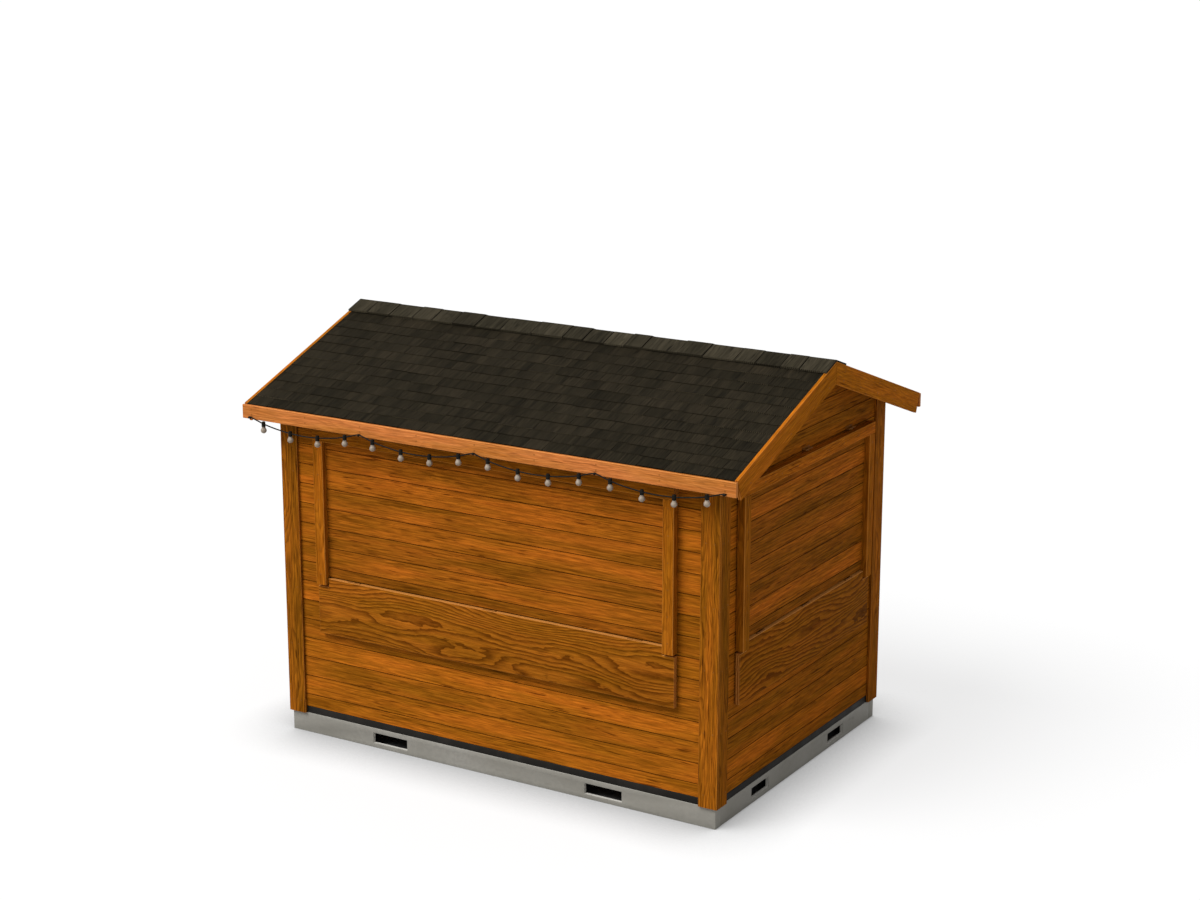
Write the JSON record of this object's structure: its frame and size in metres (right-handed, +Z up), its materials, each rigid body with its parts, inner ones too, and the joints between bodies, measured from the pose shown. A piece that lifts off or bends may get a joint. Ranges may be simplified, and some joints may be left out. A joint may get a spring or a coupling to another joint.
{
  "type": "wooden market stall",
  "caption": "Board-built market stall on a steel base with top-hung serving hatches, fold-down counters, a side door and a shingled pitched roof with a festoon of lamps.",
  "frame": {"origin": "on the ground under the middle of the stall", "axes": "+Z up, +X along the width to the right of the serving front, the front faces -Y"},
  "size_m": [3.334, 2.3974, 2.5123],
  "materials": {
    "galvanised_steel": "galvanised, dull",
    "floor_wood": "oiled boards",
    "black_strip": "matt black",
    "wall_wood": "stained pine boards",
    "frame_wood": "stained pine",
    "counter_wood": "stained knotty pine",
    "roof_wood": "stained pine",
    "shingle": "dark shingle, rough",
    "hinge_steel": "black painted steel",
    "black_rubber": "black rubber",
    "lamp_glass": "frosted white glass"
  },
  "bodies": {
    "stall": {"long_rails": "galvanised_steel", "cross_rails": "galvanised_steel", "floor_bearers": "galvanised_steel", "floor": "floor_wood", "sill_strips": "black_strip", "corner_posts": "wall_wood", "front_wall_sides": "wall_wood", "front_wall_below": "wall_wood", "front_wall_above": "wall_wood", "rear_wall_sides": "wall_wood", "rear_wall_below": "wall_wood", "rear_wall_above": "wall_wood", "top_rails": "wall_wood", "right_wall_sides": "wall_wood", "right_wall_below": "wall_wood", "right_gable": "wall_wood", "left_wall_sides": "wall_wood", "left_gable": "wall_wood", "door_lining": "wall_wood", "corner_shelf": "wall_wood", "rear_hatch_boards": "wall_wood", "rear_hatch_frame": "frame_wood", "hinge_plates": "hinge_steel"},
    "front_hatch": {"front_hatch_boards": "wall_wood", "front_hatch_frame": "frame_wood", "front_hatch_hinges": "hinge_steel"},
    "right_hatch": {"right_hatch_boards": "wall_wood", "right_hatch_frame": "frame_wood", "right_hatch_hinges": "hinge_steel"},
    "front_counter": {"front_counter_leaf": "counter_wood", "front_counter_hinges": "hinge_steel"},
    "right_counter": {"right_counter_leaf": "counter_wood", "right_counter_hinges": "hinge_steel"},
    "door": {"door_leaf": "wall_wood", "door_hinges": "hinge_steel", "door_handle": "hinge_steel"},
    "roof": {"front_deck": "roof_wood", "rear_deck": "roof_wood", "roof_battens": "roof_wood", "eave_fascias": "roof_wood", "barge_boards": "roof_wood", "front_shingles": "shingle", "rear_shingles": "shingle", "ridge_cap": "shingle", "cord_clips": "black_rubber", "light_cord": "black_rubber", "lamp_holders": "black_rubber", "lamp_bulbs": "lamp_glass"}
  },
  "joints": [
    {"name": "front_hatch_hinge", "type": "hinge", "parent": "stall", "child": "front_hatch", "pos_m": [0, -1.0445, 1.967], "axis": [-1, 0, 0], "range_deg": [0, 50]},
    {"name": "right_hatch_hinge", "type": "hinge", "parent": "stall", "child": "right_hatch", "pos_m": [1.5025, 0, 1.967], "axis": [0, -1, 0], "range_deg": [0, 90]},
    {"name": "front_counter_hinge", "type": "hinge", "parent": "stall", "child": "front_counter", "pos_m": [0, -1.05, 1.034], "axis": [-1, 0, 0], "range_deg": [0, 90]},
    {"name": "right_counter_hinge", "type": "hinge", "parent": "stall", "child": "right_counter", "pos_m": [1.508, 0, 1.034], "axis": [0, -1, 0], "range_deg": [0, 90]},
    {"name": "door_hinge", "type": "hinge", "parent": "stall", "child": "door", "pos_m": [-1.488, 0.357, 1], "axis": [0, 0, -1], "range_deg": [0, 100]},
    {"name": "roof_lift", "type": "slide", "parent": "stall", "child": "roof", "axis": [0, 0, 1], "range_m": [0, 1.3]}
  ]
}
